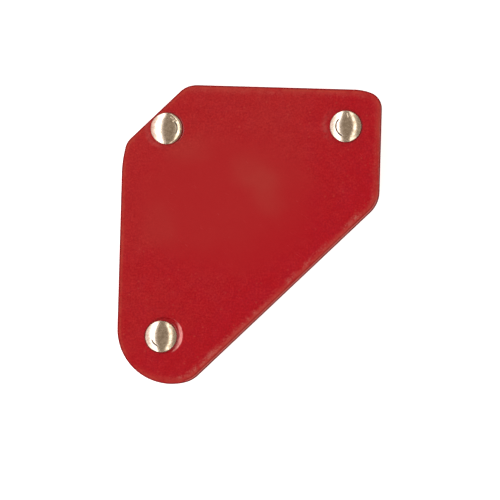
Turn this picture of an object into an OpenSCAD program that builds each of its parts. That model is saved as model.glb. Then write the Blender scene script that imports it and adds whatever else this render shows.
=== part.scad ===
// Welding magnet holder: two stamped steel pole plates with ferrite blocks between them,
// kept apart by tubular spacers and closed by three semi-tubular rivets.
// It lies on its rivets' rolled ends: +Z leaves the front face, +X runs along the top edge
// and +Y runs up the left edge. The origin is under the middle of the plates' outline.

/* [Plate outline] */
// Overall width, from the left edge to the right edge
plate_w = 65.5; // [60:0.5:79]
// Overall height, from the nose to the top edge
plate_h = 76; // [63:0.5:91]
// Thickness of each pole plate
plate_t = 2; // [1.2:0.1:3]
// Leg of the 45 degree chamfer beside the top edge
chamfer_leg = 16; // [13:0.5:20]
// Distance from the left edge to where the long diagonal would meet the nose's foot line
foot_w = 18.4; // [17:0.1:22]

/* [Corner radii] */
// Nose, the large rounded end of the left edge
nose_r = 13.9; // [11.5:0.1:14.4]
// Easing between the nose and the long diagonal
nose_ease_r = 7.3; // [5:0.1:9]
// Right-angled tip, the tight part beside the right edge
tip_r = 4.3; // [3:0.1:6]
// Right-angled tip, the easy part beside the top edge
tip_ease_r = 13; // [8:0.5:18]
// Direction in which the tip's two arcs meet
tip_turn = 71; // [60:1:76]
// Corner between the top edge and the chamfer
brow_r = 6.1; // [3:0.1:8]
// Corner between the chamfer and the left edge, the tight part
cheek_r = 4.6; // [3:0.1:8]
// Corner between the chamfer and the left edge, the easy part
cheek_ease_r = 30; // [12:1:36]
// Direction in which the cheek's two arcs meet
cheek_turn = 167; // [160:1:174]
// Corner between the long diagonal and the right edge
heel_r = 7.4; // [4:0.1:10]

/* [Rivets] */
// Diameter of a rivet's shank
shank_d = 4; // [3:0.1:5]
// Diameter of the domed head
head_d = 8; // [6.5:0.1:10]
// Height of the domed head above its seat
head_h = 2; // [1.4:0.1:3]
// Height of the upright rim under the dome
head_rim = 0.3; // [0.1:0.05:0.6]
// Diameter of the hollow in the shank's rear end
hollow_d = 2.4; // [1.6:0.1:2.8]
// Depth of that hollow's straight wall, from the rear plate's face
hollow_depth = 2.6; // [1:0.1:4]
// Height of the rolled end behind the rear plate
roll_h = 1; // [0.7:0.1:1.2]
// Clearance round a shank in each plate and spacer, on the radius
shank_clear = 0.1; // [0.05:0.01:0.2]

/* [Rivet places] */
// Chamfer rivet, from the left edge
chamfer_rivet_x = 10.9; // [9:0.1:14]
// Rim of plate left between the chamfer rivet's head and the chamfer
chamfer_rivet_rim = 0.3; // [0.1:0.05:1.5]
// Tip rivet, from the right edge
tip_rivet_x = 9.1; // [7.5:0.1:12]
// Tip rivet, from the top edge
tip_rivet_y = 9.4; // [7.5:0.1:12]
// Nose rivet, from the left edge
nose_rivet_x = 11.1; // [9:0.1:14]
// Nose rivet, from the foot line
nose_rivet_y = 12; // [10:0.1:14]

/* [Dished seats] */
// How far each rivet's seat lies below the front face
dish_depth = 0.2; // [0.1:0.05:0.5]
// Flat ring of the seat left round the head
dish_floor_rim = 0.3; // [0.1:0.05:0.6]
// Width of the slope from that ring up to the front face
dish_slope_w = 1.1; // [0.5:0.1:1.5]

/* [Magnets and spacers] */
// Thickness of the ferrite blocks, which is the gap between the plates
magnet_t = 9; // [6:0.5:12]
// Width of each ferrite block
magnet_w = 20; // [14:0.5:24]
// Upper block, from the top edge
upper_magnet_inset = 3.7; // [3:0.1:6]
// Lower block, from the left edge
lower_magnet_inset = 5.8; // [4:0.1:9]
// Clearance between a block and the spacer at its end
end_clear = 1.8; // [1:0.1:3]
// Clearance between the two blocks
block_clear = 0.6; // [0.3:0.1:3]
// Size of the chamfer on a block's upright edges
block_chamfer = 0.8; // [0.3:0.1:1.5]
// Outer diameter of the tubular spacers
spacer_d = 8; // [6.5:0.1:10]
// Width of the chamfer round each end of a spacer
spacer_chamfer = 0.4; // [0.1:0.05:0.6]

/* [Hidden] */
$fn = 96;

paint = "firebrick";
ferrite = "dimgray";
plated_steel = "lightgray";
bare_steel = "darkgray";

// The outline's arcs are drawn in steps of at most this many degrees
facet_angle = 4;

// Directions in which the edges face, in degrees from +X
facing_right = 0;
facing_top = 90;
facing_chamfer = 135;
facing_left = 180;
facing_foot = 270;
facing_diagonal = 315;

// Levels: the rolled ends stand on z = 0
rear_z = roll_h;
gap_z = rear_z + plate_t;
front_z = gap_z + magnet_t;
face_z = front_z + plate_t;
seat_z = face_z - dish_depth;

// Each edge's distance from the middle of the outline, along the way it faces
side_reach = plate_w / 2;
end_reach = plate_h / 2;
chamfer_reach = (side_reach + end_reach - chamfer_leg) / sqrt(2);
diagonal_reach = (end_reach - side_reach + foot_w) / sqrt(2);

// Radii of what goes through the plates
shank_r = shank_d / 2;
hole_r = shank_r + shank_clear;
head_r = head_d / 2;
hollow_r = hollow_d / 2;
spacer_r = spacer_d / 2;

// The dome is part of a ball that passes through the top of the rim
dome_h = head_h - head_rim;
ball_r = (head_r * head_r + dome_h * dome_h) / (2 * dome_h);

// The chamfer rivet keeps its rim of plate whatever the chamfer's size
chamfer_rivet_reach = chamfer_reach - head_r - chamfer_rivet_rim;
chamfer_place = [
    chamfer_rivet_x - side_reach,
    chamfer_rivet_reach * sqrt(2) + chamfer_rivet_x - side_reach
];
tip_place = [side_reach - tip_rivet_x, end_reach - tip_rivet_y];
nose_place = [nose_rivet_x - side_reach, nose_rivet_y - end_reach];
PLACES = [chamfer_place, tip_place, nose_place];

// The upper block fills the way between the two upper spacers
upper_left = chamfer_place[0] + spacer_r + end_clear;
upper_right = tip_place[0] - spacer_r - end_clear;
upper_top = end_reach - upper_magnet_inset;
upper_foot = upper_top - magnet_w;
// The lower block fills the way from the nose spacer to the upper block
lower_left = lower_magnet_inset - side_reach;
lower_foot = nose_place[1] + spacer_r + end_clear;
lower_top = upper_foot - block_clear;

function along(angle) = [cos(angle), sin(angle)];

// Where two lines meet, each given by the way it faces and its distance from the origin
function meet(a0, p0, a1, p1) = [
    (p0 * sin(a1) - p1 * sin(a0)) / sin(a1 - a0),
    (p1 * cos(a0) - p0 * cos(a1)) / sin(a1 - a0)
];

// Points along an arc, from the direction a0 to a1; skip leaves out its first points
function arc(centre, r, a0, a1, skip = 0) =
    let (steps = ceil((a1 - a0) / facet_angle))
    [for (i = [skip : steps]) centre + r * along(a0 + (a1 - a0) * i / steps)];

// A plain corner is one arc that touches both edges
function corner(a0, p0, a1, p1, r) = arc(meet(a0, p0 - r, a1, p1 - r), r, a0, a1);

// An eased corner is two arcs, each touching its own edge, that meet smoothly at turn
function eased_corner(a0, p0, r0, turn, a1, p1, r1) =
    let (centre = meet(a0, p0 - r0, a1, p1 - r1 - (r0 - r1) * cos(a1 - turn)))
    concat(
        arc(centre, r0, a0, turn),
        arc(centre + (r0 - r1) * along(turn), r1, turn, a1, 1)
    );

// The nose touches the left edge and the foot line, then eases into the diagonal
nose_centre = [nose_r - side_reach, nose_r - end_reach];
nose_to_diagonal = diagonal_reach - nose_centre * along(facing_diagonal);
nose_turn = facing_diagonal - acos((nose_to_diagonal - nose_ease_r) / (nose_r - nose_ease_r));
nose_ease_centre = nose_centre + (nose_r - nose_ease_r) * along(nose_turn);

// Both plates' outline, from the tip round to the heel; the edges join the arcs' ends
OUTLINE = concat(
    eased_corner(facing_right, side_reach, tip_r, tip_turn, facing_top, end_reach, tip_ease_r),
    corner(facing_top, end_reach, facing_chamfer, chamfer_reach, brow_r),
    eased_corner(
        facing_chamfer, chamfer_reach, cheek_r, cheek_turn, facing_left, side_reach, cheek_ease_r
    ),
    arc(nose_centre, nose_r, facing_left, facing_foot),
    arc(nose_centre, nose_r, facing_foot, nose_turn, 1),
    arc(nose_ease_centre, nose_ease_r, nose_turn, facing_diagonal, 1),
    corner(facing_diagonal, diagonal_reach, facing_right + 360, side_reach, heel_r)
);

// A plate from z = 0 up, with a hole for each rivet
module holed_plate() {
    difference() {
        linear_extrude(plate_t)
            polygon(OUTLINE);
        for (place = PLACES)
            translate([place[0], place[1], -1])
                cylinder(r = hole_r, h = plate_t + 2);
    }
}

// The shallow cone that the front face is dished by round a rivet, open towards +Z
module dish() {
    floor_r = head_r + dish_floor_rim;
    rotate_extrude()
        polygon([
            [0, -dish_depth],
            [floor_r, -dish_depth],
            [floor_r + dish_slope_w, 0],
            [floor_r + dish_slope_w, 1],
            [0, 1]
        ]);
}

module front_plate() {
    color(paint)
        translate([0, 0, front_z])
            difference() {
                holed_plate();
                for (place = PLACES)
                    translate([place[0], place[1], plate_t])
                        dish();
            }
}

module rear_plate() {
    color(paint)
        translate([0, 0, rear_z])
            holed_plate();
}

// A ferrite block that fills the gap, with its lower left corner at the place given
module block(place, length_x, length_y) {
    c = block_chamfer;
    color(ferrite)
        translate([place[0], place[1], gap_z])
            linear_extrude(magnet_t)
                polygon([
                    [c, 0],
                    [length_x - c, 0],
                    [length_x, c],
                    [length_x, length_y - c],
                    [length_x - c, length_y],
                    [c, length_y],
                    [0, length_y - c],
                    [0, c]
                ]);
}

module upper_magnet() {
    block([upper_left, upper_foot], upper_right - upper_left, magnet_w);
}

module lower_magnet() {
    block([lower_left, lower_foot], magnet_w, lower_top - lower_foot);
}

// A tube as long as the gap, with its outer rims chamfered
module spacer(place) {
    c = spacer_chamfer;
    color(bare_steel)
        translate([place[0], place[1], gap_z])
            rotate_extrude()
                polygon([
                    [hole_r, 0],
                    [spacer_r - c, 0],
                    [spacer_r, c],
                    [spacer_r, magnet_t - c],
                    [spacer_r - c, magnet_t],
                    [hole_r, magnet_t]
                ]);
}

module chamfer_spacer() {
    spacer(chamfer_place);
}

module tip_spacer() {
    spacer(tip_place);
}

module nose_spacer() {
    spacer(nose_place);
}

// Half of a rivet's section, to the right of its axis and standing on the rolled end
module rivet_section() {
    hollow_top = rear_z + hollow_depth;
    // Dome, cut from the ball, with its rim
    intersection() {
        translate([0, seat_z + head_h - ball_r])
            circle(r = ball_r);
        translate([0, seat_z])
            square([head_r, head_h + 1]);
    }
    // Shank, solid above the hollow, whose end is a cone
    polygon([
        [hollow_r, rear_z],
        [shank_r, rear_z],
        [shank_r, seat_z],
        [0, seat_z],
        [0, hollow_top + hollow_r / 2],
        [hollow_r, hollow_top]
    ]);
    // Rolled end, a half round lip that bears on the rear plate
    intersection() {
        translate([hollow_r + roll_h, rear_z])
            circle(r = roll_h);
        translate([hollow_r, 0])
            square([2 * roll_h, roll_h]);
    }
}

module rivet(place) {
    color(plated_steel)
        translate([place[0], place[1], 0])
            rotate_extrude()
                rivet_section();
}

module chamfer_rivet() {
    rivet(chamfer_place);
}

module tip_rivet() {
    rivet(tip_place);
}

module nose_rivet() {
    rivet(nose_place);
}

front_plate();
rear_plate();
upper_magnet();
lower_magnet();
chamfer_spacer();
tip_spacer();
nose_spacer();
chamfer_rivet();
tip_rivet();
nose_rivet();
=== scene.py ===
"""Finished look of a small welding magnet holder, built around its packed construction.

Lengths are in millimetres until a mesh is made, and every surface is closed and faces outwards.
"""

import math

import bpy
import numpy as np
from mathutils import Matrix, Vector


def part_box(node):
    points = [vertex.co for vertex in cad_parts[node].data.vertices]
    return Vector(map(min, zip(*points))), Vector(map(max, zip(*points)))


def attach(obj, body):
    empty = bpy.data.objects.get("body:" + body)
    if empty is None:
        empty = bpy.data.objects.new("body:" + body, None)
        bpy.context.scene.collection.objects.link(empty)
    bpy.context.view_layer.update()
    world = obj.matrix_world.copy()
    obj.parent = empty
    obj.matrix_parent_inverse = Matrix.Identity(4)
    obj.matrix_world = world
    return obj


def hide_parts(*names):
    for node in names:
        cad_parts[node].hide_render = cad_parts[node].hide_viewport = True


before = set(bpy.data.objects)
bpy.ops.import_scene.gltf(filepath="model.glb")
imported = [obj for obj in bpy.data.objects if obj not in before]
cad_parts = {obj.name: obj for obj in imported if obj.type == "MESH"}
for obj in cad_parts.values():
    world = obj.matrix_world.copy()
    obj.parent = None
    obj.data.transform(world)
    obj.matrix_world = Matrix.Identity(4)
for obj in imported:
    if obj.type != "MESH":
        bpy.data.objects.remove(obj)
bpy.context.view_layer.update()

MM = 0.001
CHAMFER_RIVET, TIP_RIVET, NOSE_RIVET = "chamfer_rivet", "tip_rivet", "nose_rivet"
RIVETS = (CHAMFER_RIVET, TIP_RIVET, NOSE_RIVET)


def node_box(node):
    """Lowest and highest corner of a construction node, in millimetres."""
    low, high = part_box(node)
    return np.array(low) / MM, np.array(high) / MM


def node_middle(node):
    low, high = node_box(node)
    return ((low + high) / 2)[:2]


# ---------------------------------------------------------------- sizes taken from the frame

front_low, front_high = node_box("front_plate")
rear_low, rear_high = node_box("rear_plate")
rivet_low, rivet_high = node_box(TIP_RIVET)
spacer_low, spacer_high = node_box("tip_spacer")

side_reach = front_high[0]
end_reach = front_high[1]
plate_t = front_high[2] - front_low[2]
head_r = (rivet_high[0] - rivet_low[0]) / 2
spacer_r = (spacer_high[0] - spacer_low[0]) / 2
place = {name: node_middle(name) for name in RIVETS}

# The construction's own sizes, which no box shows
chamfer_leg = 16.0
foot_w = 18.4
nose_r, nose_ease_r = 13.9, 7.3
tip_r, tip_ease_r, tip_turn = 4.3, 13.0, 71.0
brow_r = 6.1
cheek_r, cheek_ease_r, cheek_turn = 4.6, 30.0, 167.0
heel_r = 7.4
shank_r, hole_r = 2.0, 2.1
hollow_r, hollow_depth = 1.2, 2.6
dish_depth = 0.2
spacer_chamfer = 0.4

FACING_RIGHT, FACING_TOP, FACING_CHAMFER = 0.0, 90.0, 135.0
FACING_LEFT, FACING_DIAGONAL = 180.0, 315.0

# ---------------------------------------------------------------- small tools for surfaces


def compass(angle):
    """Unit vectors at these angles, in degrees from +X."""
    angle = np.radians(angle)
    return np.stack([np.cos(angle), np.sin(angle)], -1)


def heading_of(vectors):
    """The directions of these vectors, in degrees from +X."""
    return np.degrees(np.arctan2(vectors[..., 1], vectors[..., 0]))


def turn_from(heading, other):
    """How far heading is turned from other, from -180 to 180 degrees."""
    return (heading - other + 180) % 360 - 180


def smooth(x, low, high):
    """0 below low and 1 above high, with the cubic 3t^2 - 2t^3 between them."""
    t = np.clip((x - low) / (high - low), 0, 1)
    return t * t * (3 - 2 * t)


def ripple(points, wavelength, seed, waves=14):
    """Gentle unevenness, about -1 to 1: the mean of plane waves in seeded directions."""
    rng = np.random.default_rng(seed)
    turn = rng.normal(size=(waves, points.shape[-1]))
    turn /= np.linalg.norm(turn, axis=1, keepdims=True)
    pitch = wavelength * rng.uniform(0.7, 1.6, waves)
    phase = rng.uniform(0, 2 * np.pi, waves)
    angle = points @ (turn * (2 * np.pi / pitch)[:, None]).T + phase
    return np.sin(angle).sum(-1) / math.sqrt(waves / 2) * 0.6


def grid_faces(rows, columns, closed=True, start=0, flip=False):
    """Four-sided faces of a rows by columns grid. They face along (next row) x (next column)."""
    last = columns if closed else columns - 1
    row, column = np.meshgrid(np.arange(rows - 1), np.arange(last), indexing="ij")
    beside = (column + 1) % columns
    corners = [row * columns + column, (row + 1) * columns + column,
               (row + 1) * columns + beside, row * columns + beside]
    faces = np.stack(corners, -1).reshape(-1, 4) + start
    return faces[:, ::-1] if flip else faces


def weld(points, faces, *values):
    """Points closer than a tenth of a micrometre become one, and faces of no size go."""
    _, first, index = np.unique(
        np.round(points * 1e4).astype(np.int64), axis=0, return_index=True, return_inverse=True
    )
    faces = index.reshape(-1)[faces]
    return points[first], faces, *[value[first] for value in values]


def make_piece(name, points, faces, material, slot, nodes, **attributes):
    """A smooth-shaded object at the origin, from points in millimetres and four-sided faces.
    A face that repeats a corner becomes a triangle, and one that has no area is left out."""
    points, faces, *values = weld(points, faces, *attributes.values())
    corners = [list(dict.fromkeys(face)) for face in faces.tolist()]
    mesh = bpy.data.meshes.new(name)
    mesh.from_pydata((points * MM).tolist(), [], [face for face in corners if len(face) > 2])
    mesh.polygons.foreach_set("use_smooth", np.ones(len(mesh.polygons), bool))
    for label, value in zip(attributes, values):
        layer = mesh.attributes.new(label, "FLOAT", "POINT")
        layer.data.foreach_set("value", value.astype(np.float32))
    mesh.update()
    mesh.materials.append(material)
    piece = bpy.data.objects.new(name, mesh)
    bpy.context.scene.collection.objects.link(piece)
    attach(piece, "root")
    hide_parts(*nodes)
    return piece


# ---------------------------------------------------------------- node trees


class Tree:
    """Short-hand for a node tree. add returns the new node, and the calls built on it return
    that node's result."""

    def __init__(self, tree):
        self.tree = tree

    def add(self, kind, inputs=None, **settings):
        """Adds a node; inputs maps a socket's name or number to a value or another socket."""
        node = self.tree.nodes.new(kind)
        for name, value in settings.items():
            setattr(node, name, value)
        for key, value in (inputs or {}).items():
            self.feed(value, node.inputs[key])
        return node

    def feed(self, value, socket):
        """Drives the socket with value, which is another socket or a plain value."""
        if isinstance(value, bpy.types.NodeSocket):
            self.tree.links.new(value, socket)
        else:
            socket.default_value = value

    def math(self, operation, *values, clamp=False):
        node = self.add("ShaderNodeMath", dict(enumerate(values)), operation=operation)
        node.use_clamp = clamp
        return node.outputs[0]

    def times(self, first, second, clamp=False):
        return self.math("MULTIPLY", first, second, clamp=clamp)

    def times_plus(self, value, factor, offset, clamp=False):
        return self.math("MULTIPLY_ADD", value, factor, offset, clamp=clamp)

    def vector(self, operation, *values, **named):
        """Vector arithmetic: dot products and lengths give a number, the rest give a vector."""
        node = self.add("ShaderNodeVectorMath", {**dict(enumerate(values)), **named},
                        operation=operation)
        return node.outputs["Value" if operation in ("DOT_PRODUCT", "LENGTH") else "Vector"]

    def remap(self, value, low, high, to_low=0.0, to_high=1.0):
        """value between low and high becomes to_low to to_high, with soft ends."""
        inputs = {"Value": value, "From Min": low, "From Max": high,
                  "To Min": to_low, "To Max": to_high}
        return self.add("ShaderNodeMapRange", inputs, interpolation_type="SMOOTHSTEP").outputs[0]

    def within(self, value, low, rise, fall, high):
        """1 where value is from rise to fall, and 0 where it is past low or high."""
        return self.times(self.remap(value, low, rise), self.remap(value, high, fall))

    def attribute(self, name):
        return self.add("ShaderNodeAttribute", attribute_name=name).outputs["Fac"]

    def noise(self, vector, scale, detail=2.0, roughness=0.5, distortion=0.0):
        inputs = {"Vector": vector, "Scale": scale, "Detail": detail,
                  "Roughness": roughness, "Distortion": distortion}
        return self.add("ShaderNodeTexNoise", inputs).outputs["Fac"]

    def blend(self, factor, first, second):
        """Colour that goes from first to second."""
        node = self.add("ShaderNodeMix", {"Factor": factor}, data_type="RGBA")
        for socket, colour in ((node.inputs[6], first), (node.inputs[7], second)):
            self.feed((*colour, 1.0) if isinstance(colour, tuple) else colour, socket)
        return node.outputs[2]


def new_group(name, inputs, outputs):
    """An empty shader node group, its tree, and the sockets at its two ends."""
    group = bpy.data.node_groups.new(name, "ShaderNodeTree")
    for label, kind, value in inputs:
        socket = group.interface.new_socket(label, in_out="INPUT", socket_type=kind)
        if value is not None:
            socket.default_value = value
    for label, kind in outputs:
        group.interface.new_socket(label, in_out="OUTPUT", socket_type=kind)
    tree = Tree(group)
    return group, tree, tree.add("NodeGroupInput").outputs, tree.add("NodeGroupOutput").inputs


def mottle_group():
    """Cloudy variation: two noises of different size, multiplied up and spread to 0 to 1."""
    group, tree, given, result = new_group(
        "Mottle",
        [("Vector", "NodeSocketVector", None), ("Scale", "NodeSocketFloat", 100.0),
         ("Low", "NodeSocketFloat", 0.35), ("High", "NodeSocketFloat", 0.65)],
        [("Mask", "NodeSocketFloat")],
    )
    broad = tree.noise(given["Vector"], given["Scale"], 3.0, 0.55)
    finer = tree.noise(given["Vector"], tree.times(given["Scale"], 3.7), 2.0, 0.6)
    mixed = tree.times_plus(finer, 0.35, tree.times(broad, 0.65))
    tree.feed(tree.remap(mixed, given["Low"], given["High"]), result["Mask"])
    return group


def speck_group():
    """Scattered specks: the cells of a Voronoi pattern whose random number is high enough
    each hold one round speck of the given size."""
    group, tree, given, result = new_group(
        "Specks",
        [("Vector", "NodeSocketVector", None), ("Scale", "NodeSocketFloat", 1000.0),
         ("Size", "NodeSocketFloat", 0.3), ("Share", "NodeSocketFloat", 0.3)],
        [("Mask", "NodeSocketFloat")],
    )
    cells = tree.add("ShaderNodeTexVoronoi", {"Vector": given["Vector"], "Scale": given["Scale"]})
    number = tree.add("ShaderNodeSeparateColor", {"Color": cells.outputs["Color"]}).outputs[0]
    kept = tree.math("LESS_THAN", number, given["Share"])
    spot = tree.remap(cells.outputs["Distance"], given["Size"], 0.0)
    tree.feed(tree.times(spot, kept), result["Mask"])
    return group


def scratch_group():
    """Fine hairline scratches: thin crests of a noise that is stretched along one direction."""
    group, tree, given, result = new_group(
        "Hairlines",
        [("Vector", "NodeSocketVector", None), ("Angle", "NodeSocketFloat", 0.5),
         ("Scale", "NodeSocketFloat", 300.0), ("Width", "NodeSocketFloat", 0.02)],
        [("Mask", "NodeSocketFloat")],
    )
    turned = tree.add("ShaderNodeVectorRotate",
                      {"Vector": given["Vector"], "Angle": given["Angle"]}, rotation_type="Z_AXIS")
    squeezed = tree.vector("MULTIPLY", turned.outputs[0], (0.06, 1.0, 0.06))
    field = tree.noise(squeezed, given["Scale"], 1.0, 0.4)
    away = tree.math("ABSOLUTE", tree.math("SUBTRACT", field, 0.5))
    line = tree.remap(away, given["Width"], 0.0)
    gate = tree.remap(tree.noise(given["Vector"], 260.0, 2.0), 0.54, 0.68)
    tree.feed(tree.times(line, gate), result["Mask"])
    return group


MOTTLE = mottle_group()
SPECKS = speck_group()
HAIRLINES = scratch_group()


def effect(tree, group, **inputs):
    """A shared effect placed in a material, with that material's own values."""
    node = tree.add("ShaderNodeGroup", node_tree=group)
    for label, value in inputs.items():
        tree.feed(value, node.inputs[label])
    return node.outputs[0]


def new_material(name, **settings):
    """A material, its tree, its principled shader, and the object's own coordinates."""
    material = bpy.data.materials.new(name)
    material.use_nodes = True
    shader = material.node_tree.nodes["Principled BSDF"]
    for label, value in settings.items():
        shader.inputs[label.replace("_", " ")].default_value = value
    tree = Tree(material.node_tree)
    where = tree.add("ShaderNodeTexCoord").outputs["Object"]
    return material, tree, shader, where


def set_relief(tree, shader, *layers):
    """Bumps laid over each other, each a (height, depth in metres) pair."""
    normal = None
    for height, depth in layers:
        bump = tree.add("ShaderNodeBump", {"Height": height, "Strength": 1.0, "Distance": depth})
        if normal is not None:
            tree.feed(normal, bump.inputs["Normal"])
        normal = bump.outputs["Normal"]
    tree.feed(normal, shader.inputs["Normal"])


def wavering(tree, where, wavelength, amount):
    """The same coordinates, pushed about by a noise so that patterns get uneven edges."""
    push = tree.add("ShaderNodeTexNoise", {"Vector": where, "Scale": 1 / wavelength, "Detail": 2.0})
    push = tree.vector("SUBTRACT", push.outputs["Color"], (0.5, 0.5, 0.5))
    return tree.vector("ADD", where, tree.vector("SCALE", push, Scale=amount))


def patch(tree, where, centre, reach, soft=0.5):
    """1 inside an oval and 0 outside it; centre and reach are in millimetres."""
    away = tree.vector("SUBTRACT", where, (centre[0] * MM, centre[1] * MM, 0.0))
    away = tree.vector("MULTIPLY", away, (1 / reach[0] / MM, 1 / reach[1] / MM, 0.0))
    return tree.remap(tree.vector("LENGTH", away), 1 + soft, 1 - soft)


# ---------------------------------------------------------------- materials

DEEP_RED = (0.375, 0.0005, 0.0081)
# Paler, greyer red: the painted sheen that stands for the left lamp's veil reflection, and a few hazy
# patches
SHEEN_AND_BLOOM_RED = (0.371, 0.0221, 0.0205)
COOLER_RED = (0.355, 0.0040, 0.0200)
# Pink of the painted highlights on the dishes' slopes beside the rivets
DISH_HIGHLIGHT_RED = (0.700, 0.2100, 0.1950)
# Paler, warmer red of the painted highlight in a band beside the rolled edge
EDGE_HIGHLIGHT_RED = (0.425, 0.0430, 0.0340)
# Paler orange of a narrow line along the tight edges
ORANGE_LINE_RED = (0.430, 0.0700, 0.0400)
# Pinkish red of broken patches of painted highlight inside the edges that face the lamps
PATCHY_HIGHLIGHT_RED = (0.440, 0.1050, 0.0850)
# Red of the painted highlight line on the heavy rolled edge
PAINTED_GLEAM_RED = (0.500, 0.1200, 0.1000)
NIB_RED = (0.49, 0.082, 0.055)
# Near-black red: painted shade against the heads and in a dip on the heavy edge, and at the very edge
# bare steel where paint is lost to wear, darkened further as painted shade of the outline
SHADE_AND_BARE_EDGE = (0.080, 0.0060, 0.0060)

def enamel_ground(tree, where, adrift, rougher, grit, grain):
    """The enamel's colour away from its edges. A painted sheen, standing for the left lamp's veil
    reflection, greys it towards the upper left and dies out towards the tip, and a few hazy patches
    grey it too; a fine mottle shows where it isn't handled. Painted highlights on the dishes' slopes
    and painted shade against the heads come on top."""
    # Painted sheen: paler towards the upper left, standing for the left lamp's veil reflection
    height = tree.vector("DOT_PRODUCT", adrift, (0.0, 1.0, 0.0))
    slant = tree.vector("DOT_PRODUCT", adrift, (-0.61, 0.79, 0.0))
    sheen_and_bloom = tree.remap(slant, -0.018, 0.004, 0.02, 0.28)
    upper = tree.times(tree.remap(height, -0.008, 0.001), tree.remap(slant, -0.006, 0.008))
    sheen_and_bloom = tree.times_plus(upper, 0.16, sheen_and_bloom)
    for centre, reach, strength in (
        ((0.4, 16.4), (5.2, 4.2), 0.40), ((4.4, 11.4), (4.2, 4.6), 0.42),
        ((-17.0, 22.0), (5.2, 3.8), 0.38), ((-23.5, 2.5), (4.4, 4.4), 0.22),
        ((-22.0, -10.0), (13.0, 5.5), -0.09),
    ):
        sheen_and_bloom = tree.times_plus(patch(tree, adrift, centre, reach, 0.65), strength, sheen_and_bloom)
    towards_tip = tree.add("ShaderNodeSeparateXYZ", {0: adrift}).outputs[0]
    sheen_and_bloom = tree.times(sheen_and_bloom, tree.remap(towards_tip, 0.006, 0.028, 1.0, 0.25))
    clouds = effect(tree, MOTTLE, Vector=where, Scale=150.0, Low=0.36, High=0.66)
    cloudy = tree.times_plus(rougher, 0.12, 0.04)
    sheen_and_bloom = tree.times_plus(tree.math("SUBTRACT", clouds, 0.5), cloudy, sheen_and_bloom)
    cool = effect(tree, MOTTLE, Vector=adrift, Scale=230.0, Low=0.40, High=0.70)
    cool = tree.times(tree.times(cool, rougher), 0.35)
    ground = tree.blend(cool, DEEP_RED, COOLER_RED)
    # The painted sheen and the hazy patches grey the red here
    colour = tree.blend(tree.times_plus(grit, 1.10, sheen_and_bloom, clamp=True), ground, SHEEN_AND_BLOOM_RED)
    colour = tree.vector("SCALE", colour, Scale=tree.times_plus(grit, 0.80, 1.0))
    # Painted highlight: pink on the dishes' slopes, where they face the lamps
    rub = tree.times(tree.attribute("rub"), tree.times_plus(grain, 0.4, 0.75), clamp=True)
    colour = tree.blend(rub, colour, DISH_HIGHLIGHT_RED)
    # Painted shade: near black in a ring against each head
    dirt = tree.times(tree.attribute("dirt"), tree.times_plus(grain, 0.4, 0.3))
    return tree.blend(dirt, colour, SHADE_AND_BARE_EDGE)


def edge_light_band(tree, colour, inset, tint, patches, heavy):
    """Beside the rolled edge, in a band, a painted highlight of paler, warmer red stands for the
    lamps' reflection on the edge's roll, most where tint is high; along the tight edges runs a narrow
    paler orange line."""
    # Painted highlight of the rolled edge, strongest on the edges that face the lamps
    band = tree.within(inset, 0.35, 0.8, 0.9, 2.2)
    band = tree.times(band, tree.times_plus(tint, 0.85, -0.04))
    band = tree.times(band, tree.times_plus(patches, 0.80, 0.20), clamp=True)
    colour = tree.blend(band, colour, EDGE_HIGHLIGHT_RED)
    # A narrow paler orange line along the tight edges
    orange_line = tree.within(inset, 0.18, 0.40, 0.7, 1.1)
    orange_line = tree.times(orange_line, tree.times_plus(heavy, -0.32, 0.32))
    return tree.blend(tree.times(orange_line, patches), colour, ORANGE_LINE_RED)


def patchy_edge_highlight(tree, colour, inset, tint, adrift, grit):
    """Broken patches of painted highlight a little inside the edge, on the edges where tint is high.
    """
    blotches = effect(tree, MOTTLE, Vector=adrift, Scale=330.0, Low=0.40, High=0.72)
    # Painted highlight, broken into patches
    highlight_patches = tree.within(inset, 0.8, 1.4, 1.6, 2.9)
    highlight_patches = tree.times(highlight_patches, tree.times(blotches, tree.remap(tint, 0.35, 0.95, 0.0, 0.80)))
    highlight_patches = tree.times(highlight_patches, tree.times_plus(grit, 4.0, 0.75), clamp=True)
    return tree.blend(highlight_patches, colour, PATCHY_HIGHLIGHT_RED)


def edge_wear_shade_and_highlight(tree, colour, inset, tint, patches, heavy):
    """At the very edge, raggedly and a short way down the wall, the paint is lost to wear, and the
    dark line is also painted shade of the outline. On the heavy rolled edge run a band of painted
    shade and a painted highlight line beside it. Gives the colour and the mask of wear and painted
    shade."""
    # Painted shade: a dark band in the dip beside the heavy rolled edge
    dip_shade = tree.within(inset, 0.54, 0.64, 0.74, 0.88)
    colour = tree.blend(tree.times(dip_shade, tree.times(heavy, 0.40)), colour, SHADE_AND_BARE_EDGE)
    # Paint lost to wear at the very edge and a short way down the wall, darkened also as painted
    # shade of the outline
    ragged = tree.times_plus(tint, -0.11, tree.times_plus(patches, 0.14, 0.38))
    worn_and_shaded = tree.within(inset, -0.45, -0.10, 0.16, ragged)
    worn_and_shaded = tree.times(worn_and_shaded, tree.remap(tint, 0.45, 0.95, 0.55, 0.95))
    colour = tree.blend(worn_and_shaded, colour, SHADE_AND_BARE_EDGE)
    # Painted highlight: a bright line along the heavy rolled edge
    painted_gleam = tree.within(inset, 0.30, 0.40, 0.48, 0.58)
    painted_gleam = tree.times(tree.times(painted_gleam, heavy), 0.90)
    return tree.blend(painted_gleam, colour, PAINTED_GLEAM_RED), worn_and_shaded


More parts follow.
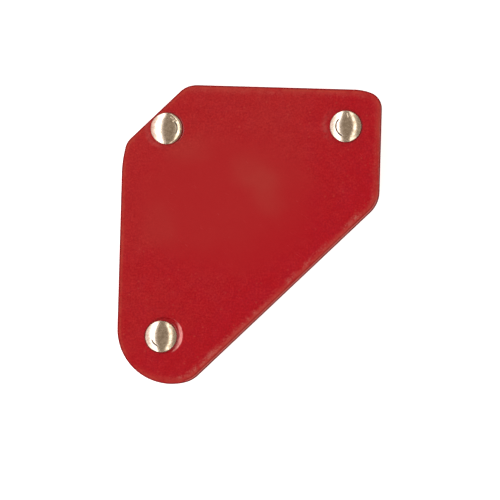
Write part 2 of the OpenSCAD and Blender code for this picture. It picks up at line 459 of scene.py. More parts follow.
def red_enamel():
    """Stoved red enamel over steel: its ground colour, then what the edges did to it, painted
    highlights and shade among them, with small nibs and hairlines. The plates' own attributes say how
    far in from the edge a point is, in millimetres, how much painted highlight the edge gets there,
    and where painted highlights lie on the dishes and painted shade against the heads."""
    material, tree, shader, where = new_material("red_enamel", Specular_IOR_Level=0.38)
    adrift = wavering(tree, where, 0.009, 0.007)
    rougher = tree.math("SUBTRACT", 1.0, patch(tree, adrift, (-6.0, 8.0), (22.0, 17.0), 0.25))
    grain = effect(tree, MOTTLE, Vector=where, Scale=520.0, Low=0.36, High=0.66)
    grit = tree.math("SUBTRACT", tree.noise(where, 2000.0, 2.0, 0.75), 0.5)
    grit = tree.times_plus(tree.math("SUBTRACT", grain, 0.5), 0.10, grit)
    grit = tree.times(grit, tree.times_plus(rougher, 0.85, 0.15))
    # tint says how much painted highlight the edge gets there
    inset, tint = tree.attribute("inset"), tree.attribute("tint")
    heavy = tree.remap(tint, 0.80, 1.0)
    patches = effect(tree, MOTTLE, Vector=where, Scale=260.0, Low=0.28, High=0.60)
    nibs = effect(tree, SPECKS, Vector=where, Scale=900.0, Size=0.38, Share=0.12)
    nibs = tree.times(nibs, rougher)
    colour = enamel_ground(tree, where, adrift, rougher, grit, grain)
    colour = edge_light_band(tree, colour, inset, tint, patches, heavy)
    colour = patchy_edge_highlight(tree, colour, inset, tint, adrift, grit)
    colour = tree.blend(tree.times(nibs, 0.22), colour, NIB_RED)
    colour, worn_and_shaded = edge_wear_shade_and_highlight(tree, colour, inset, tint, patches, heavy)
    tree.feed(colour, shader.inputs["Base Color"])
    dulled = tree.remap(inset, 0.32, 0.16, 0.38, 0.03)
    tree.feed(dulled, shader.inputs["Specular IOR Level"])

    lines = effect(tree, HAIRLINES, Vector=where, Angle=0.6, Scale=900.0, Width=0.012)
    rough = tree.times_plus(grain, 0.06, 0.15)
    rough = tree.times_plus(worn_and_shaded, 0.25, rough)
    rough = tree.times_plus(lines, 0.12, rough)
    tree.feed(rough, shader.inputs["Roughness"])
    peel = tree.noise(where, 1300.0, 2.0, 0.45)
    swell = tree.noise(where, 190.0, 1.0, 0.5)
    set_relief(tree, shader, (swell, 0.00002), (peel, 0.000005), (nibs, 0.000012), (lines, -0.000002))
    return material


def nickel():
    """Bright nickel plate over a cold-headed steel rivet: shallow pits, tiny dull spots and a
    faint warm stain; painted shade in the scored ring and along the rim, and soiling on the tail's
    lip."""
    material, tree, shader, where = new_material("nickel_plating", Metallic=1.0)
    stain = effect(tree, MOTTLE, Vector=where, Scale=1100.0, Low=0.38, High=0.62)
    pits = effect(tree, SPECKS, Vector=where, Scale=2600.0, Size=0.45, Share=0.30)
    colour = tree.blend(stain, (0.830, 0.715, 0.590), (0.560, 0.455, 0.350))
    colour = tree.blend(tree.times(pits, 0.45), colour, (0.40, 0.32, 0.23))
    grime = tree.times(tree.attribute("grime"), tree.times_plus(stain, 0.3, 0.8), clamp=True)
    # Near black: painted shade in the scored ring and along the rim, and soiling on the tail's lip
    colour = tree.blend(grime, colour, (0.100, 0.085, 0.080))
    tree.feed(colour, shader.inputs["Base Color"])
    rough = tree.times_plus(stain, 0.08, 0.15)
    rough = tree.times_plus(grime, 0.25, rough)
    tree.feed(tree.times_plus(pits, 0.12, rough), shader.inputs["Roughness"])
    lumps = tree.noise(where, 2100.0, 2.0, 0.5)
    broad = tree.noise(where, 700.0, 1.0, 0.5)
    set_relief(tree, shader, (broad, 0.000010), (lumps, 0.000004), (pits, -0.000004))
    return material


def zinc_tube():
    """Dull zinc over drawn tube: spangled patches and draw lines along the tube."""
    material, tree, shader, where = new_material("zinc_tube", Metallic=1.0)
    spangle = tree.add("ShaderNodeTexVoronoi", {"Vector": where, "Scale": 1500.0})
    tint = tree.add("ShaderNodeSeparateColor", {"Color": spangle.outputs["Color"]}).outputs[0]
    dull = effect(tree, MOTTLE, Vector=where, Scale=420.0, Low=0.35, High=0.65)
    colour = tree.blend(tint, (0.44, 0.45, 0.46), (0.56, 0.56, 0.55))
    colour = tree.blend(tree.times(dull, 0.5), colour, (0.36, 0.35, 0.33))
    tree.feed(colour, shader.inputs["Base Color"])
    rough = tree.times_plus(dull, 0.20, 0.34)
    tree.feed(rough, shader.inputs["Roughness"])
    drawn = tree.vector("MULTIPLY", where, (1.0, 1.0, 0.05))
    lines = tree.noise(drawn, 4200.0, 2.0, 0.6)
    set_relief(tree, shader, (lines, 0.000008), (tint, 0.000003))
    return material


def sintered_ferrite():
    """Charcoal ferrite: a gritty sintered skin with dust in it and paler freshly broken chips."""
    material, tree, shader, where = new_material("sintered_ferrite", Specular_IOR_Level=0.45)
    dust = effect(tree, MOTTLE, Vector=where, Scale=380.0, Low=0.42, High=0.70)
    grit = effect(tree, SPECKS, Vector=where, Scale=5200.0, Size=0.5, Share=0.25)
    colour = tree.blend(dust, (0.028, 0.028, 0.031), (0.062, 0.058, 0.056))
    colour = tree.blend(tree.times(grit, 0.5), colour, (0.115, 0.110, 0.110))
    chip = tree.attribute("chip")
    colour = tree.blend(chip, colour, (0.085, 0.085, 0.092))
    tree.feed(colour, shader.inputs["Base Color"])
    rough = tree.times_plus(dust, 0.18, 0.56)
    tree.feed(tree.times_plus(chip, -0.16, rough), shader.inputs["Roughness"])
    skin = tree.noise(where, 2600.0, 4.0, 0.65)
    set_relief(tree, shader, (skin, 0.00003), (grit, 0.000008))
    return material


ENAMEL = red_enamel()
NICKEL = nickel()
ZINC = zinc_tube()
FERRITE = sintered_ferrite()

# ---------------------------------------------------------------- the plates' outline

ARC_STEP = 0.40
EDGE_STEP = 0.45
CHAMFER_STEP = 0.22


def meet(facing0, reach0, facing1, reach1):
    """Where two lines meet, each given by the way it faces and its distance from the origin."""
    return np.linalg.solve(compass([facing0, facing1]), [reach0, reach1])


def arc(centre, radius, start, stop, step=ARC_STEP):
    """Points on an arc and their outward directions: centre + radius times the direction."""
    count = math.ceil(math.radians(stop - start) * radius / step)
    outward = compass(np.linspace(start, stop, count + 1))
    return centre + radius * outward, outward


def joined(arcs, edge_step):
    """The arcs' points and outward directions in turn, with points filled in along the straight
    edges between them, no further apart than edge_step says for the way an edge faces."""
    points, outwards = [], []
    for (ends, outward), (following, _) in zip(arcs, arcs[1:] + arcs[:1]):
        edge = following[0] - ends[-1]
        count = max(math.ceil(np.linalg.norm(edge) / edge_step(outward[-1])), 1)
        share = np.arange(1, count)[:, None] / count
        points += [ends, ends[-1] + share * edge]
        outwards += [outward, np.repeat(outward[-1:], count - 1, 0)]
    return np.concatenate(points), np.concatenate(outwards)


def plate_edge_step(facing):
    return CHAMFER_STEP if np.allclose(facing, compass(FACING_CHAMFER)) else EDGE_STEP


def eased_corner(facing0, reach0, radius0, turn, facing1, reach1, radius1):
    """Two arcs, each touching its own edge, that meet smoothly in the direction turn."""
    gap = (radius0 - radius1) * math.cos(math.radians(facing1 - turn))
    centre = meet(facing0, reach0 - radius0, facing1, reach1 - radius1 - gap)
    centre1 = centre + (radius0 - radius1) * compass(turn)
    return [arc(centre, radius0, facing0, turn), arc(centre1, radius1, turn, facing1)]


def outline():
    """The plates' closed outline, counter-clockwise: points and outward directions."""
    chamfer_reach = (side_reach + end_reach - chamfer_leg) / math.sqrt(2)
    diagonal_reach = (end_reach - side_reach + foot_w) / math.sqrt(2)
    nose = np.array([nose_r - side_reach, nose_r - end_reach])
    nose_to_diagonal = diagonal_reach - nose @ compass(FACING_DIAGONAL)
    swing = math.acos((nose_to_diagonal - nose_ease_r) / (nose_r - nose_ease_r))
    nose_turn = FACING_DIAGONAL - math.degrees(swing)
    nose_ease = nose + (nose_r - nose_ease_r) * compass(nose_turn)
    brow = meet(FACING_TOP, end_reach - brow_r, FACING_CHAMFER, chamfer_reach - brow_r)
    heel = meet(FACING_DIAGONAL, diagonal_reach - heel_r, FACING_RIGHT, side_reach - heel_r)
    arcs = [
        *eased_corner(FACING_RIGHT, side_reach, tip_r, tip_turn,
                      FACING_TOP, end_reach, tip_ease_r),
        arc(brow, brow_r, FACING_TOP, FACING_CHAMFER),
        *eased_corner(FACING_CHAMFER, chamfer_reach, cheek_r, cheek_turn,
                      FACING_LEFT, side_reach, cheek_ease_r),
        arc(nose, nose_r, FACING_LEFT, nose_turn),
        arc(nose_ease, nose_ease_r, nose_turn, FACING_DIAGONAL),
        arc(heel, heel_r, FACING_DIAGONAL, FACING_RIGHT + 360),
    ]
    points, outwards = joined(arcs, plate_edge_step)
    moved = np.linalg.norm(points - np.roll(points, 1, 0), axis=1) > 1e-6
    return points[moved], outwards[moved]


# ---------------------------------------------------------------- stamped plates

RIM_W = 1.9
ROLL_STATIONS = 15
RIM_CREST = 1 + ROLL_STATIONS
CUT_STATIONS = 46
NEAR_HOLE_R = 6.0
# Stations near the hole and beyond, for the face with the seats and for the flat one
SEAT_FACE_STATIONS, FLAT_FACE_STATIONS = (24, 16), (4, 10)
HOLE_WALL_STATIONS = 4
SEAT_CLEAR = 0.10
# Each rivet's setting tool came down a little off its axis and left a dish whose slope lies
# between two circles. Each circle is its centre from the axis and its radius; then the depth.
DISHES = {
    CHAMFER_RIVET: (((-0.40, -0.10), 3.80), ((-0.40, -0.10), 5.10), 0.20),
    TIP_RIVET: (((-0.60, 0.05), 4.10), ((-0.60, 0.05), 5.35), 0.20),
    NOSE_RIVET: (((-2.53, 0.75), 7.05), ((0.83, 0.35), 4.68), 0.46),
}
LEAST_SLOPE_W = 0.5
# How far each head was pushed off its shank's axis as it was set
HEAD_OFF_AXIS = {CHAMFER_RIVET: (0.13, -0.08), TIP_RIVET: (0.0, -0.03), NOSE_RIVET: (0.0, 0.0)}


def dish_slope(away, name):
    """How far these points, given from a rivet's axis, are past the slope's inner circle and
    how far they are from its outer one."""
    (inner, inner_r), (outer, outer_r), _ = DISHES[name]
    past_inner = np.linalg.norm(away - inner, axis=-1) - inner_r
    return past_inner, outer_r - np.linalg.norm(away - outer, axis=-1)


def dished(points):
    """How far the front face lies below flat at these points. Each rivet has a steep-walled seat,
    just wider than its head and centred under it, and round that a dish off the rivet's axis."""
    depth = np.zeros(points.shape[:-1])
    for name, (_, _, dish_z) in DISHES.items():
        away = points - place[name]
        from_axis = np.linalg.norm(away - HEAD_OFF_AXIS[name], axis=-1)
        seat_r = head_r + np.linalg.norm(HEAD_OFF_AXIS[name])
        seat = 1 - smooth(from_axis, seat_r + SEAT_CLEAR / 2, seat_r + SEAT_CLEAR * 1.6)
        past_inner, to_outer = dish_slope(away, name)
        share = np.clip(to_outer / np.maximum(past_inner + to_outer, LEAST_SLOPE_W), 0, 1)
        dish = dish_z * (0.6 * share + 0.4 * smooth(share, 0, 1))
        extra = np.maximum(dish - dish_depth, 0) * smooth(from_axis, head_r + 0.1, head_r + 0.5)
        dish = np.minimum(dish, dish_depth) + extra
        depth = np.maximum(depth, np.maximum(seat * dish_depth, dish))
    return depth


# How strong the painted highlight is on a dish's slope, between which directions, how wide its soft
# border is, and how strong the painted shade is against the head
DISH_LIGHT_AND_HEAD_SHADE = {
    CHAMFER_RIVET: (0.11, 140, 260, 0.5, 0.1),
    TIP_RIVET: (0.16, 146, 216, 0.7, 0.5),
    NOSE_RIVET: (1.00, -56, 44, 0.2, 0.7),
}


def rubbed_and_dirty(points):
    """Two values: how strong the painted highlight is on the dishes' slopes, with soft ends, and how
    strong the painted shade is in a ring against the heads."""
    rub = np.zeros(points.shape[:-1])
    dirt = np.zeros(points.shape[:-1])
    for name, (strength, start, stop, border, dirtiness) in DISH_LIGHT_AND_HEAD_SHADE.items():
        away = points - place[name]
        off_middle = np.abs(turn_from(heading_of(away), (start + stop) / 2))
        half = (stop - start) / 2
        window = 1 - smooth(off_middle, half - 60 * border, half + 40 * border)
        past_inner, to_outer = dish_slope(away, name)
        on_slope = smooth(past_inner, -border, 1.5 * border) * smooth(to_outer, -border, border)
        uneven = 1 + 0.9 * border * ripple(points, 1.5, 5)
        # Painted highlight on the dish's slope
        rub += strength * window * on_slope * np.clip(uneven, 0, 2)
        from_axis = np.linalg.norm(away - HEAD_OFF_AXIS[name], axis=-1)
        beside = 1 - smooth(from_axis, head_r + 0.04, head_r + 0.30)
        # Painted shade in a ring against the head
        dirt += dirtiness * beside
    return np.stack([rub, dirt])


def rim_section(outwards):
    """The stamped edge's section at each outline point, as insets and heights by station.
    The punch's side is a quarter ellipse, wide on the edges that face the heel and tight on
    the others; then come the sheared wall, a torn part that leans in below it, and the burr."""
    heavy = smooth(outwards @ compass(FACING_DIAGONAL), -0.1, 0.95)
    roll_w = 0.26 + 0.94 * heavy
    roll_h = 0.17 + 0.50 * heavy
    swing = np.radians(np.linspace(0, 90, ROLL_STATIONS))[:, None]
    burr = np.radians(np.linspace(0, 90, 5))[:, None]
    burr_r, lean, torn = 0.12, 0.07, 0.38 * plate_t
    everywhere = np.ones((1, len(outwards)))
    insets = [
        RIM_W * everywhere,
        (RIM_W + roll_w) / 2 * everywhere,
        roll_w * (1 - np.sin(swing)),
        0 * everywhere,
        lean * everywhere,
        lean + burr_r * (1 - np.cos(burr)) * everywhere,
        (lean + burr_r + RIM_W) / 2 * everywhere,
        RIM_W * everywhere,
    ]
    heights = [
        plate_t * everywhere,
        plate_t * everywhere,
        plate_t - roll_h * (1 - np.cos(swing)),
        torn * everywhere,
        burr_r * 1.5 * everywhere,
        burr_r * (1 - np.sin(burr)) * everywhere,
        0 * everywhere,
        0 * everywhere,
    ]
    return np.concatenate(insets), np.concatenate(heights)


def rim_inset_and_edge_light(points, path, outwards):
    """How far each point is from the outline, and how much painted highlight the edge gets there:
    most on the diagonal edge, about half as much on the top and right ones, and least on the left
    one."""
    to_diagonal = smooth(outwards @ compass(FACING_DIAGONAL), 0.60, 0.97)
    tint = 0.18 + 0.82 * np.maximum(0.45 * smooth(outwards[:, 0], -0.9, -0.1), to_diagonal)
    gaps = [np.linalg.norm(path - part[:, None], axis=-1) for part in np.array_split(points, 24)]
    nearest = np.concatenate([gap.argmin(1) for gap in gaps])
    return np.concatenate([gap.min(1) for gap in gaps]), tint[nearest]


def web_regions(loop):
    """Splits the plate inside its rim into one closed counter-clockwise loop of points per
    rivet. The cuts run straight from a point between the rivets to three points of the rim."""
    middle = np.mean([place[name] for name in RIVETS], axis=0)
    aims = {CHAMFER_RIVET: (88, 195), TIP_RIVET: (-42, 88), NOSE_RIVET: (195, 318)}
    heading = heading_of(loop - middle)

    def nearest(aim):
        return int(np.argmin(np.abs(turn_from(heading, aim))))

    def cut(index):
        share = np.linspace(0, 1, CUT_STATIONS)[:, None]
        return middle + share * (loop[index] - middle)

    regions = {}
    for name, (start, stop) in aims.items():
        first, last = nearest(start), nearest(stop)
        along = np.arange(first, last + 1 if last > first else last + 1 + len(loop)) % len(loop)
        regions[name] = np.concatenate([loop[along], cut(last)[-2:0:-1], cut(first)[:-1]])
    return regions


def web_surface(centre, loop, stations):
    """The plate between a rivet hole and its region's loop: along each ray from the rivet's
    axis to a loop point, stations close together near the hole and then ever wider apart."""
    ray = loop - centre
    far = np.linalg.norm(ray, axis=1)
    ray = ray / far[:, None]
    near = np.minimum(NEAR_HOLE_R, hole_r + 0.9 * (far - hole_r))
    ring = np.linspace(0, 1, stations[0])[:, None]
    ring = hole_r + (near - hole_r) * (1 - (1 - ring) ** 1.35)
    outer = np.linspace(0, 1, stations[1] + 1)[1:, None] ** 1.25
    radius = np.concatenate([ring, near + (far - near) * outer])
    return centre + radius[..., None] * ray


def stamped_plate(name, low_z, high_z, face_up):
    """A plate as one closed surface: the rim's section carried round the outline, and on each
    face three webs that join the rim to the rivet holes, whose walls join the two faces."""
    path, outwards = outline()
    inset, height = rim_section(outwards)
    rim_points = path - inset[..., None] * outwards
    points, heights = [rim_points.reshape(-1, 2)], [height.ravel()]
    faces = [grid_faces(*inset.shape, flip=not face_up)]
    count = inset.size
    for rivet, loop in web_regions(rim_points[0]).items():
        centre = place[rivet]
        outer_web = web_surface(centre, loop, SEAT_FACE_STATIONS)
        inner_web = web_surface(centre, loop, FLAT_FACE_STATIONS)
        wall = np.repeat(outer_web[:1], HOLE_WALL_STATIONS, 0)
        drop = np.linspace(1, 0, HOLE_WALL_STATIONS)[:, None]
        wall_height = plate_t * drop * np.ones(len(loop))
        for web, level, flip in (
            (outer_web, np.full(outer_web.shape[:-1], plate_t), False),
            (inner_web, np.zeros(inner_web.shape[:-1]), True),
            (wall, wall_height, True),
        ):
            points.append(web.reshape(-1, 2))
            heights.append(level.ravel())
            faces.append(grid_faces(*web.shape[:2], start=count, flip=flip == face_up))
            count += level.size
    points, heights = np.concatenate(points), np.concatenate(heights)
    # tint says how much painted highlight each edge gets
    from_edge, tint = rim_inset_and_edge_light(points, path, outwards)
    below_roll = height[RIM_CREST] - height
    from_edge[: inset.size] = np.where(below_roll > 0, -below_roll, inset).ravel()
    if face_up:
        heights = heights - dished(points) * smooth(heights, 0.2 * plate_t, 0.75 * plate_t)
    level = low_z + heights if face_up else high_z - heights
    solid = np.column_stack([points, level])
    rub, dirt = rubbed_and_dirty(points) * (heights > 0.5 * plate_t) * face_up
    make_piece(name, solid, np.concatenate(faces), ENAMEL, "red_paint", [name],
               inset=from_edge, tint=tint, rub=rub, dirt=dirt)


# ---------------------------------------------------------------- surfaces of revolution


def turned(profile, centre, columns):
    """A profile of (radius, height) points carried round an upright axis: x and y are the
    radius times the direction's cosine and sine."""
    around = compass(np.arange(columns) * 360 / columns)
    flat = centre + profile[:, None, :1] * around
    level = np.repeat(profile[:, 1:], columns, 1)
    return np.concatenate([flat, level[..., None]], -1), around


def bow(centre, radius, start, stop, count):
    """Points on an arc of a section, from start to stop degrees, either way round."""
    return np.array(centre) + radius * compass(np.linspace(start, stop, count))


# What the setting tool and handling did to each head: its ball's radius, how far its crown is
# pressed down, the direction and angle it leans, a scored ring (radius, from, to, depth), and
# dents, each (distance from the axis, direction, tilt, half length, half width, depth).
HEAD_MARKS = {
    CHAMFER_RIVET: {"ball_r": 6.10, "pressed": 0.20, "lean": (176, 3.4),
                    "ring": (2.68, -30, 44, 0.0),
                    "dents": [(3.1, 62, 150, 0.50, 0.17, 0.13), (2.8, 44, 20, 0.42, 0.15, 0.10)]},
    TIP_RIVET: {"ball_r": 5.55, "pressed": 0.0, "lean": (0, 0.0),
                "ring": (2.50, 132, 254, 0.09),
                "dents": [(2.85, 80, 100, 0.85, 0.12, 0.07)]},
    NOSE_RIVET: {"ball_r": 5.55, "pressed": 0.0, "lean": (0, 0.0),
                 "ring": (2.42, 196, 256, 0.08),
                 "dents": [(2.3, 206, 128, 0.30, 0.10, 0.04)]},
}
STEEPEST = 36.5
DOME_STATIONS = 100
RIVET_COLUMNS = 168
SHOULDER_R = 0.12
FOOT_R = 0.09


def dome_profile(ball_r, top_z):
    """A cold-headed dome from its crown out to its rim, whose slope is a ball's until it nears
    the steepest a die leaves, and then hardly grows: height is the running sum of the slope."""
    radius = np.linspace(0, head_r - SHOULDER_R / 2, DOME_STATIONS)
    limit = math.sin(math.radians(STEEPEST))
    sine = radius / ball_r
    sine = sine / (1 + (sine / limit) ** 10) ** (1 / 10)
    slope = sine / np.sqrt(1 - sine**2)
    fall = np.concatenate([[0], np.cumsum((slope[1:] + slope[:-1]) / 2 * np.diff(radius))])
    return np.column_stack([radius, top_z - fall])


def head_relief(flat, marks, seed):
    """Height to add to a dome at these points from its axis: an uneven cold-headed surface,
    a V-shaped ring scored along part of a circle, and oval dents with Gaussian sections. Also
    how much painted shade darkens it, in the ring and along the rim."""
    from_axis = np.linalg.norm(flat, axis=-1)
    lift = 0.010 * ripple(flat, 3.4, seed) + 0.0025 * ripple(flat, 1.1, seed + 1)
    ring_r, start, stop, ring_depth = marks["ring"]
    off_middle = turn_from(heading_of(flat), (start + stop) / 2)
    part = 1 - smooth(np.abs(off_middle), (stop - start) / 2 - 16, (stop - start) / 2 + 6)
    scored = part * np.clip(1 - np.abs(from_axis - ring_r) / 0.23, 0, 1)
    lift -= ring_depth * scored
    for distance, direction, tilt, half_length, half_width, depth in marks["dents"]:
        away = flat - distance * compass(direction)
        along, across = away @ compass(tilt), away @ compass(tilt + 90)
        lift -= depth * np.exp(-((along / half_length) ** 4) - (across / half_width) ** 2)
    # Painted shade: dark in the scored ring and along the rim
    grime = np.maximum(np.clip(2.5 * scored, 0, 1), 0.5 * smooth(from_axis, 0.94 * head_r, head_r))
    return lift * (1 - smooth(from_axis, 0.86 * head_r, 0.98 * head_r)), grime


def rivet_section(ball_r, crown_z, seat_z, rear_face_z, tail_z):
    """Half of a set rivet's section, from the crown down its outside, round the rolled lip and
    up its hollow; and how many of the points are the head's."""
    dome = dome_profile(ball_r, crown_z)
    rim_z = dome[-1, 1]
    shoulder = bow((head_r - SHOULDER_R, rim_z - SHOULDER_R), SHOULDER_R, 46, 0, 7)
    foot = bow((head_r - FOOT_R, seat_z + FOOT_R), FOOT_R, 0, -90, 5)
    fillet = 0.8 * (hole_r - shank_r)
    underside = [[shank_r + fillet, seat_z], [shank_r, seat_z - fillet],
                 [shank_r, rear_face_z + fillet]]
    roll_r = rear_face_z - tail_z
    crest_r = hollow_r + roll_r
    flare = [[shank_r + fillet, rear_face_z], [crest_r + roll_r * 0.9, rear_face_z]]
    lip = bow((crest_r, rear_face_z), roll_r, -4, -180, 40)
    hollow_z = rear_face_z + hollow_depth
    hollow = [[hollow_r, rear_face_z + 0.3], [hollow_r, hollow_z],
              [hollow_r * 0.5, hollow_z + hollow_r * 0.25], [0, hollow_z + hollow_r / 2]]
    section = np.concatenate([dome, shoulder, foot, underside, flare, lip, hollow])
    return section, len(dome) + len(shoulder) + len(foot)


def set_rivet(name, seed):
    """A semi-tubular rivet after setting: domed head, upright rim, shank, and a tail rolled
    outwards into a lip that is split and pressed a little unevenly."""
    low, high = node_box(name)
    rear_face_z = rear_low[2]
    seat_z = front_high[2] - dish_depth
    marks = HEAD_MARKS[name]
    crown_z = high[2] - marks["pressed"]
    profile, head_points = rivet_section(marks["ball_r"], crown_z, seat_z, rear_face_z, low[2])
    rim_z = profile[DOME_STATIONS - 1, 1]
    surface, around = turned(profile, place[name], RIVET_COLUMNS)
    flat = surface[..., :2] - place[name]
    on_dome = (profile[:, 1] >= rim_z)[:, None]
    lift, grime = head_relief(flat, marks, seed)
    surface[..., 2] += np.where(on_dome, np.minimum(lift, 0), 0)
    # The lean: height falls in proportion to the distance towards it, less and less down the
    # rim; the side that rises is rounded off near the rim
    heading, angle = marks["lean"]
    tilt = -math.tan(math.radians(angle)) * (flat @ compass(heading))
    from_axis = np.linalg.norm(flat, axis=-1)
    tilt = np.where(tilt > 0, tilt * (1 - 0.7 * smooth(from_axis, 0.88 * head_r, head_r)), tilt)
    down_rim = np.clip((profile[:, 1:] - seat_z) / (rim_z - seat_z), 0, 1)
    surface[..., 2] += down_rim * tilt
    # The lip: six soft petals where the tail split as it rolled, deepest along the crest
    on_lip = smooth(rear_face_z - profile[:, 1], 0.05, 0.6)[:, None]
    petals = 0.5 + 0.5 * np.cos(np.radians(6 * heading_of(around) + 40 * seed))
    uneven = 0.5 + 0.5 * ripple(around * 4, 5.0, seed + 7)
    surface[..., 2] += on_lip * (0.07 * petals**8 + 0.04 * np.clip(uneven, 0, 1))
    surface[..., :2] -= flat * (on_lip * 0.035 * petals**8)[..., None]
    # The head as a whole is off the axis of the shank, which stays straight in its hole
    surface[:head_points, :, :2] += HEAD_OFF_AXIS[name]
    # Nothing of the rolled lip reaches into the rear plate
    under_plate = profile[:, 1] <= rear_face_z
    surface[under_plate, :, 2] = np.minimum(surface[under_plate, :, 2], rear_face_z)
    faces = grid_faces(*surface.shape[:2])
    # On the head, painted shade in the ring and along the rim; on the tail's lip, soiling on the
    # petals
    grime = np.where(profile[:, 1:] > seat_z, grime, 0.3 * on_lip * petals)
    make_piece(name, surface.reshape(-1, 3), faces, NICKEL, "nickel_plate", [name],
               grime=grime.ravel())


SPACER_COLUMNS = 240
SEAM_DEPTH = 0.22
SEAM_HALF_ANGLE = 2.2


def tube_spacer(name, rivet, seam_heading):
    """A spacer rolled from strip: its tube section carried round the rivet's axis, with the
    closed butt joint as a narrow groove down one side."""
    centre = place[rivet]
    low, high = node_box(name)
    bevel = 0.15
    flank_r = spacer_r - spacer_chamfer
    section = np.array([
        [hole_r + bevel, high[2]], [flank_r - 0.08, high[2]], [flank_r, high[2] - 0.03],
        [spacer_r - 0.06, high[2] - spacer_chamfer + 0.05],
        [spacer_r, high[2] - spacer_chamfer - 0.08],
        *[[spacer_r, z] for z in np.linspace(high[2] - 1, low[2] + 1, 12)],
        [spacer_r, low[2] + spacer_chamfer + 0.08],
        [spacer_r - 0.06, low[2] + spacer_chamfer - 0.05],
        [flank_r, low[2] + 0.03], [flank_r - 0.08, low[2]], [hole_r + bevel, low[2]],
        [hole_r, low[2] + bevel], [hole_r, high[2] - bevel], [hole_r + bevel, high[2]],
    ])
    surface, around = turned(section, centre, SPACER_COLUMNS)
    off_seam = turn_from(heading_of(around), seam_heading)
    outside = smooth(section[:, 0], spacer_r - 0.6, spacer_r - 0.3)[:, None]
    groove = SEAM_DEPTH * np.exp(-((off_seam / SEAM_HALF_ANGLE) ** 2)) * outside
    shrink = 1 - groove / np.maximum(section[:, :1], hole_r)
    surface[..., :2] = centre + (surface[..., :2] - centre) * shrink[..., None]
    faces = grid_faces(*surface.shape[:2])
    make_piece(name, surface.reshape(-1, 3), faces, ZINC, "zinc_tube", [name])


# ---------------------------------------------------------------- ferrite blocks

BLOCK_CORNER_R = 0.9
BLOCK_EDGE_R = 0.22
BLOCK_CORNER_STEP = 0.16
BLOCK_SIDE_STEP = 0.42
WALL_STATIONS = 30
CHIP_DEPTH = 0.42
CHIP_REACH = 0.9


def block_outline(low, high):
    """A rectangle with rounded corners, counter-clockwise: points and outward directions."""
    half = (high - low) / 2
    middle = (high + low) / 2
    signs = ((1, 1, 0), (-1, 1, 90), (-1, -1, 180), (1, -1, 270))
    arcs = [
        arc(middle + np.array([sx, sy]) * (half - BLOCK_CORNER_R), BLOCK_CORNER_R,
            start, start + 90, BLOCK_CORNER_STEP)
        for sx, sy, start in signs
    ]
    return joined(arcs, lambda facing: BLOCK_SIDE_STEP)


def ferrite_block(name, seed):
    """A pressed block: a section with small edge rounds carried round its outline, closed by
    caps that shrink to the middle. Bits of its edges have chipped off: wherever a ripple
    passes a level near an edge, the surface is cut back in proportion."""
    low, high = node_box(name)
    path, outwards = block_outline(low[:2], high[:2])
    middle = (low[:2] + high[:2]) / 2
    edge_r = BLOCK_EDGE_R
    bend = np.radians(np.linspace(90, 0, 6))
    levels = np.concatenate([
        high[2] - edge_r + edge_r * np.sin(bend),
        np.linspace(high[2] - 2 * edge_r, low[2] + 2 * edge_r, WALL_STATIONS),
        (low[2] + edge_r - edge_r * np.sin(bend))[::-1],
    ])
    tuck = edge_r * (1 - np.cos(bend))
    insets = np.concatenate([tuck, np.zeros(WALL_STATIONS), tuck[::-1]])
    side = path - insets[:, None, None] * outwards
    # The caps' rings, as shares of the outline: a middle point, ten even ones, two by the edge
    edge_ring = 0.4 / 17
    by_edge = 1 - edge_ring * np.arange(2, 0, -1)
    shrink = np.concatenate([[0.0], np.linspace(0.25, 0.93, 10), by_edge])
    inner = shrink[:, None, None] * side[0] + (1 - shrink[:, None, None]) * middle
    flat = np.concatenate([inner, side, inner[::-1]])
    rise = np.concatenate([np.full(len(shrink), high[2]), levels, np.full(len(shrink), low[2])])
    solid = np.concatenate([flat, np.repeat(rise[:, None], len(path), 1)[..., None]], -1)
    to_side = np.minimum(
        np.abs(solid[..., :2] - low[:2]).min(-1), np.abs(solid[..., :2] - high[:2]).min(-1)
    )
    to_face = np.minimum(high[2] - solid[..., 2], solid[..., 2] - low[2])
    near_edge = 1 - smooth(np.hypot(to_side, to_face), 0.25, 1.1)
    broken = ripple(solid, 3.2, seed) + 0.35 * ripple(solid, 0.9, seed + 3)
    chip = smooth(broken, 0.62, 0.95) * near_edge
    centre = np.array([*middle, (low[2] + high[2]) / 2])
    inward = np.sign(centre - solid) * (np.stack([to_side, to_side, to_face], -1) < CHIP_REACH)
    inward[..., :2] *= np.abs(outwards)[None]
    solid = solid + CHIP_DEPTH * chip[..., None] * inward
    faces = grid_faces(len(solid), len(path))
    make_piece(name, solid.reshape(-1, 3), faces, FERRITE, "ferrite", [name],
               chip=chip.ravel())


# ---------------------------------------------------------------- the pieces

stamped_plate("front_plate", front_low[2], front_high[2], face_up=True)
stamped_plate("rear_plate", rear_low[2], rear_high[2], face_up=False)
for order, rivet_name in enumerate(RIVETS):
    set_rivet(rivet_name, 11 + order)
tube_spacer("chamfer_spacer", CHAMFER_RIVET, 118)
tube_spacer("tip_spacer", TIP_RIVET, 20)
tube_spacer("nose_spacer", NOSE_RIVET, 232)
ferrite_block("upper_magnet", 31)
ferrite_block("lower_magnet", 47)

# ---------------------------------------------------------------- floor, light and camera


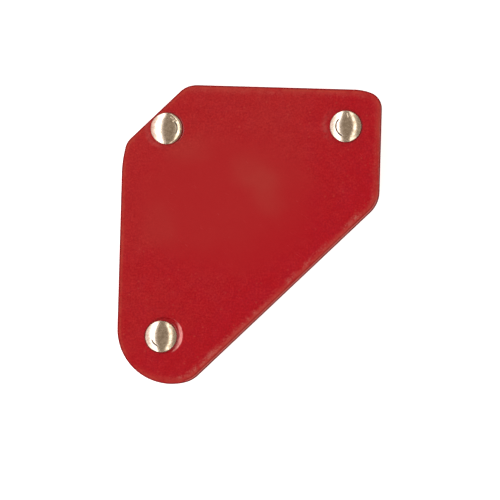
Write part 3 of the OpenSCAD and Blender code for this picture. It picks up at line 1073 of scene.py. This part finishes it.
def studio_floor():
    """A pale matt table that glows faintly from below, so that it stays clean and even."""
    material, tree, shader, where = new_material("pale_table", Roughness=0.85)
    cloud = effect(tree, MOTTLE, Vector=where, Scale=9.0, Low=0.3, High=0.7)
    colour = tree.blend(cloud, (0.90, 0.90, 0.90), (0.92, 0.92, 0.92))
    tree.feed(colour, shader.inputs["Base Color"])
    shader.inputs["Emission Color"].default_value = (1, 1, 1, 1)
    shader.inputs["Emission Strength"].default_value = 0.70
    half = 2.5
    mesh = bpy.data.meshes.new("table")
    corners = [(-half, -half, 0), (half, -half, 0), (half, half, 0), (-half, half, 0)]
    mesh.from_pydata(corners, [], [(0, 1, 2, 3)])
    mesh.materials.append(material)
    table = bpy.data.objects.new("table", mesh)
    bpy.context.scene.collection.objects.link(table)


def studio_light(seen, overhead, lamps):
    """A room with lamps as long as itself. Light depends only on the bearing from straight up
    towards +X: overhead, plus what each lamp adds between its soft edges. The camera sees a
    plain pale backdrop."""
    world = bpy.data.worlds.new("room")
    world.use_nodes = True
    tree = Tree(world.node_tree)
    background = world.node_tree.nodes["Background"]
    heading = tree.add("ShaderNodeTexCoord").outputs["Generated"]
    part = tree.add("ShaderNodeSeparateXYZ", {0: heading}).outputs
    bearing = tree.math("ARCTAN2", part[0], part[2])
    light = overhead
    for edges, strength, tint in lamps:
        lamp = tree.within(bearing, *[math.radians(edge) for edge in edges])
        glow = tree.vector("SCALE", tint, Scale=tree.times(lamp, strength))
        light = tree.vector("ADD", light, glow)
    to_camera = tree.add("ShaderNodeLightPath").outputs["Is Camera Ray"]
    tree.feed(tree.blend(to_camera, light, seen), background.inputs["Color"])
    bpy.context.scene.world = world


def overhead_camera(middle, view_w, roll, distance):
    """Looks straight down at middle; view_w is the width seen at the front face."""
    camera = bpy.data.cameras.new("camera")
    camera.lens = camera.sensor_width * distance / view_w
    camera.clip_start, camera.clip_end = 0.01, 20
    holder = bpy.data.objects.new("camera", camera)
    holder.location = (middle[0] * MM, middle[1] * MM, front_high[2] * MM + distance * MM)
    holder.rotation_euler = (0, 0, math.radians(roll))
    bpy.context.scene.collection.objects.link(holder)
    bpy.context.scene.camera = holder


studio_floor()
studio_light(
    seen=(1.0, 1.0, 1.0),
    overhead=(0.36, 0.30, 0.24),
    # A tall softbox on the left, its brighter middle, a red glow below it, and a narrower strip
    # on the right
    lamps=(((-82, -60, -50, -14), 1.0, (0.97, 1.0, 1.10)),
           ((-66, -48, -44, -30), 3.1, (1.0, 0.99, 0.97)),
           ((-100, -88, -76, -66), 0.50, (1.0, 0.24, 0.24)),
           ((37, 51, 53, 64), 2.10, (1.0, 0.97, 0.89))),
)
overhead_camera((0.31, -3.44), 126.75, 1.626, 900)

scene = bpy.context.scene
scene.view_settings.view_transform = "Standard"
scene.view_settings.look = "None"
